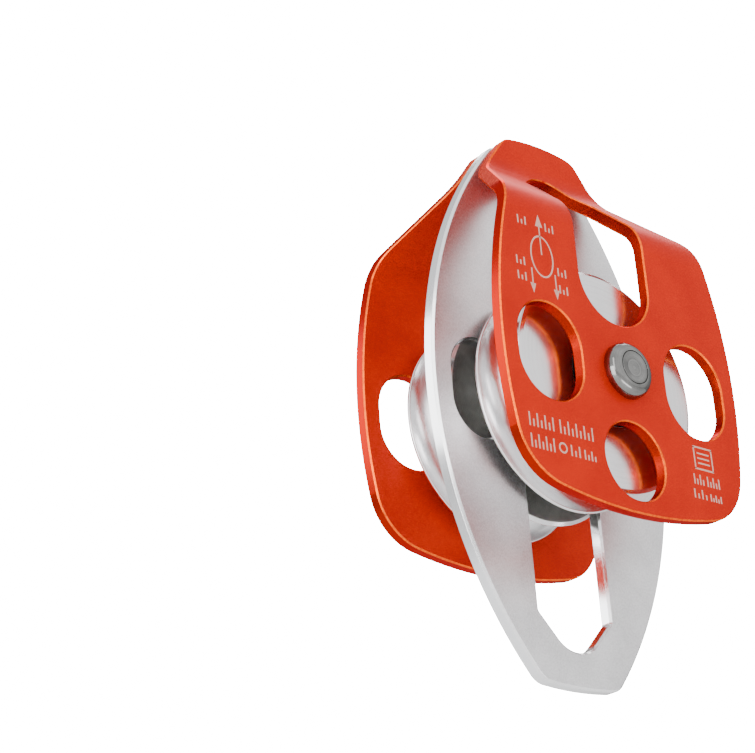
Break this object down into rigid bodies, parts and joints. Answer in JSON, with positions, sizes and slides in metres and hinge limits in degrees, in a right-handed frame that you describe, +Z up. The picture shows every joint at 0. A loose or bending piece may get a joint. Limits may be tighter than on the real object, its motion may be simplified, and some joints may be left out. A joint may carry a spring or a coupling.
{
  "type": "rope pulley",
  "caption": "Rope pulley with twin grooved sheaves on one axle, swinging bent side plates, a middle plate with a becket eye below and an anchor eye above.",
  "frame": {"origin": "on the axle's centre line, in the mid plane of the middle plate", "axes": "+X across the plates to the right seen from the front, +Y along the axle from front to rear, +Z up towards the anchor eye"},
  "size_m": [0.0864, 0.0658, 0.1569],
  "materials": {
    "orange_plate": "bead-blasted and anodised orange, satin, with brighter broken edges",
    "silver_plate": "bead-blasted and clear anodised, fine matt grain, bright broken edges",
    "turned_sheave": "fine turned, satin on the faces and polished in the groove",
    "stainless": "turned stainless steel, semi-bright",
    "bearing_steel": "ground and polished bearing steel",
    "spring_steel": "dark spring steel",
    "seal_rubber": "matt black rubber"
  },
  "bodies": {
    "frame": {"middle_plate": "silver_plate", "axle": "stainless", "front_axle_collar": "stainless", "front_inner_spacer": "stainless", "front_outer_spacer": "stainless", "front_bearing_inner_race": "bearing_steel", "rear_axle_collar": "stainless", "rear_inner_spacer": "stainless", "rear_outer_spacer": "stainless", "rear_bearing_inner_race": "bearing_steel"},
    "front_plate": {"front_side_plate": "orange_plate"},
    "front_wheel": {"front_sheave": "turned_sheave", "front_bearing_outer_race": "bearing_steel", "front_bearing_inner_seal": "seal_rubber", "front_bearing_outer_seal": "seal_rubber", "front_retaining_ring": "spring_steel"},
    "front_ball_set": {"front_bearing_cage": "spring_steel", "front_bearing_ball_1": "bearing_steel", "front_bearing_ball_2": "bearing_steel", "front_bearing_ball_3": "bearing_steel", "front_bearing_ball_4": "bearing_steel", "front_bearing_ball_5": "bearing_steel", "front_bearing_ball_6": "bearing_steel", "front_bearing_ball_7": "bearing_steel"},
    "rear_plate": {"rear_side_plate": "orange_plate"},
    "rear_wheel": {"rear_sheave": "turned_sheave", "rear_bearing_outer_race": "bearing_steel", "rear_bearing_inner_seal": "seal_rubber", "rear_bearing_outer_seal": "seal_rubber", "rear_retaining_ring": "spring_steel"},
    "rear_ball_set": {"rear_bearing_cage": "spring_steel", "rear_bearing_ball_1": "bearing_steel", "rear_bearing_ball_2": "bearing_steel", "rear_bearing_ball_3": "bearing_steel", "rear_bearing_ball_4": "bearing_steel", "rear_bearing_ball_5": "bearing_steel", "rear_bearing_ball_6": "bearing_steel", "rear_bearing_ball_7": "bearing_steel"}
  },
  "joints": [
    {"name": "front_plate_swing", "type": "hinge", "parent": "frame", "child": "front_plate", "pos_m": [0, -0.02745, 0], "axis": [0, 1, 0], "continuous": true},
    {"name": "front_sheave_spin", "type": "hinge", "parent": "frame", "child": "front_wheel", "pos_m": [0, -0.01385, 0], "axis": [0, 1, 0], "continuous": true},
    {"name": "front_balls_orbit", "type": "hinge", "parent": "frame", "child": "front_ball_set", "pos_m": [0, -0.01385, 0], "axis": [0, 1, 0], "continuous": true},
    {"name": "rear_plate_swing", "type": "hinge", "parent": "frame", "child": "rear_plate", "pos_m": [0, 0.02745, 0], "axis": [0, 1, 0], "continuous": true},
    {"name": "rear_sheave_spin", "type": "hinge", "parent": "frame", "child": "rear_wheel", "pos_m": [0, 0.01385, 0], "axis": [0, 1, 0], "continuous": true},
    {"name": "rear_balls_orbit", "type": "hinge", "parent": "frame", "child": "rear_ball_set", "pos_m": [0, 0.01385, 0], "axis": [0, 1, 0], "continuous": true}
  ],
  "couplings": [
    {"joint": "front_balls_orbit", "follows": "front_sheave_spin", "ratio": 0.63222},
    {"joint": "rear_balls_orbit", "follows": "rear_sheave_spin", "ratio": 0.63222}
  ]
}
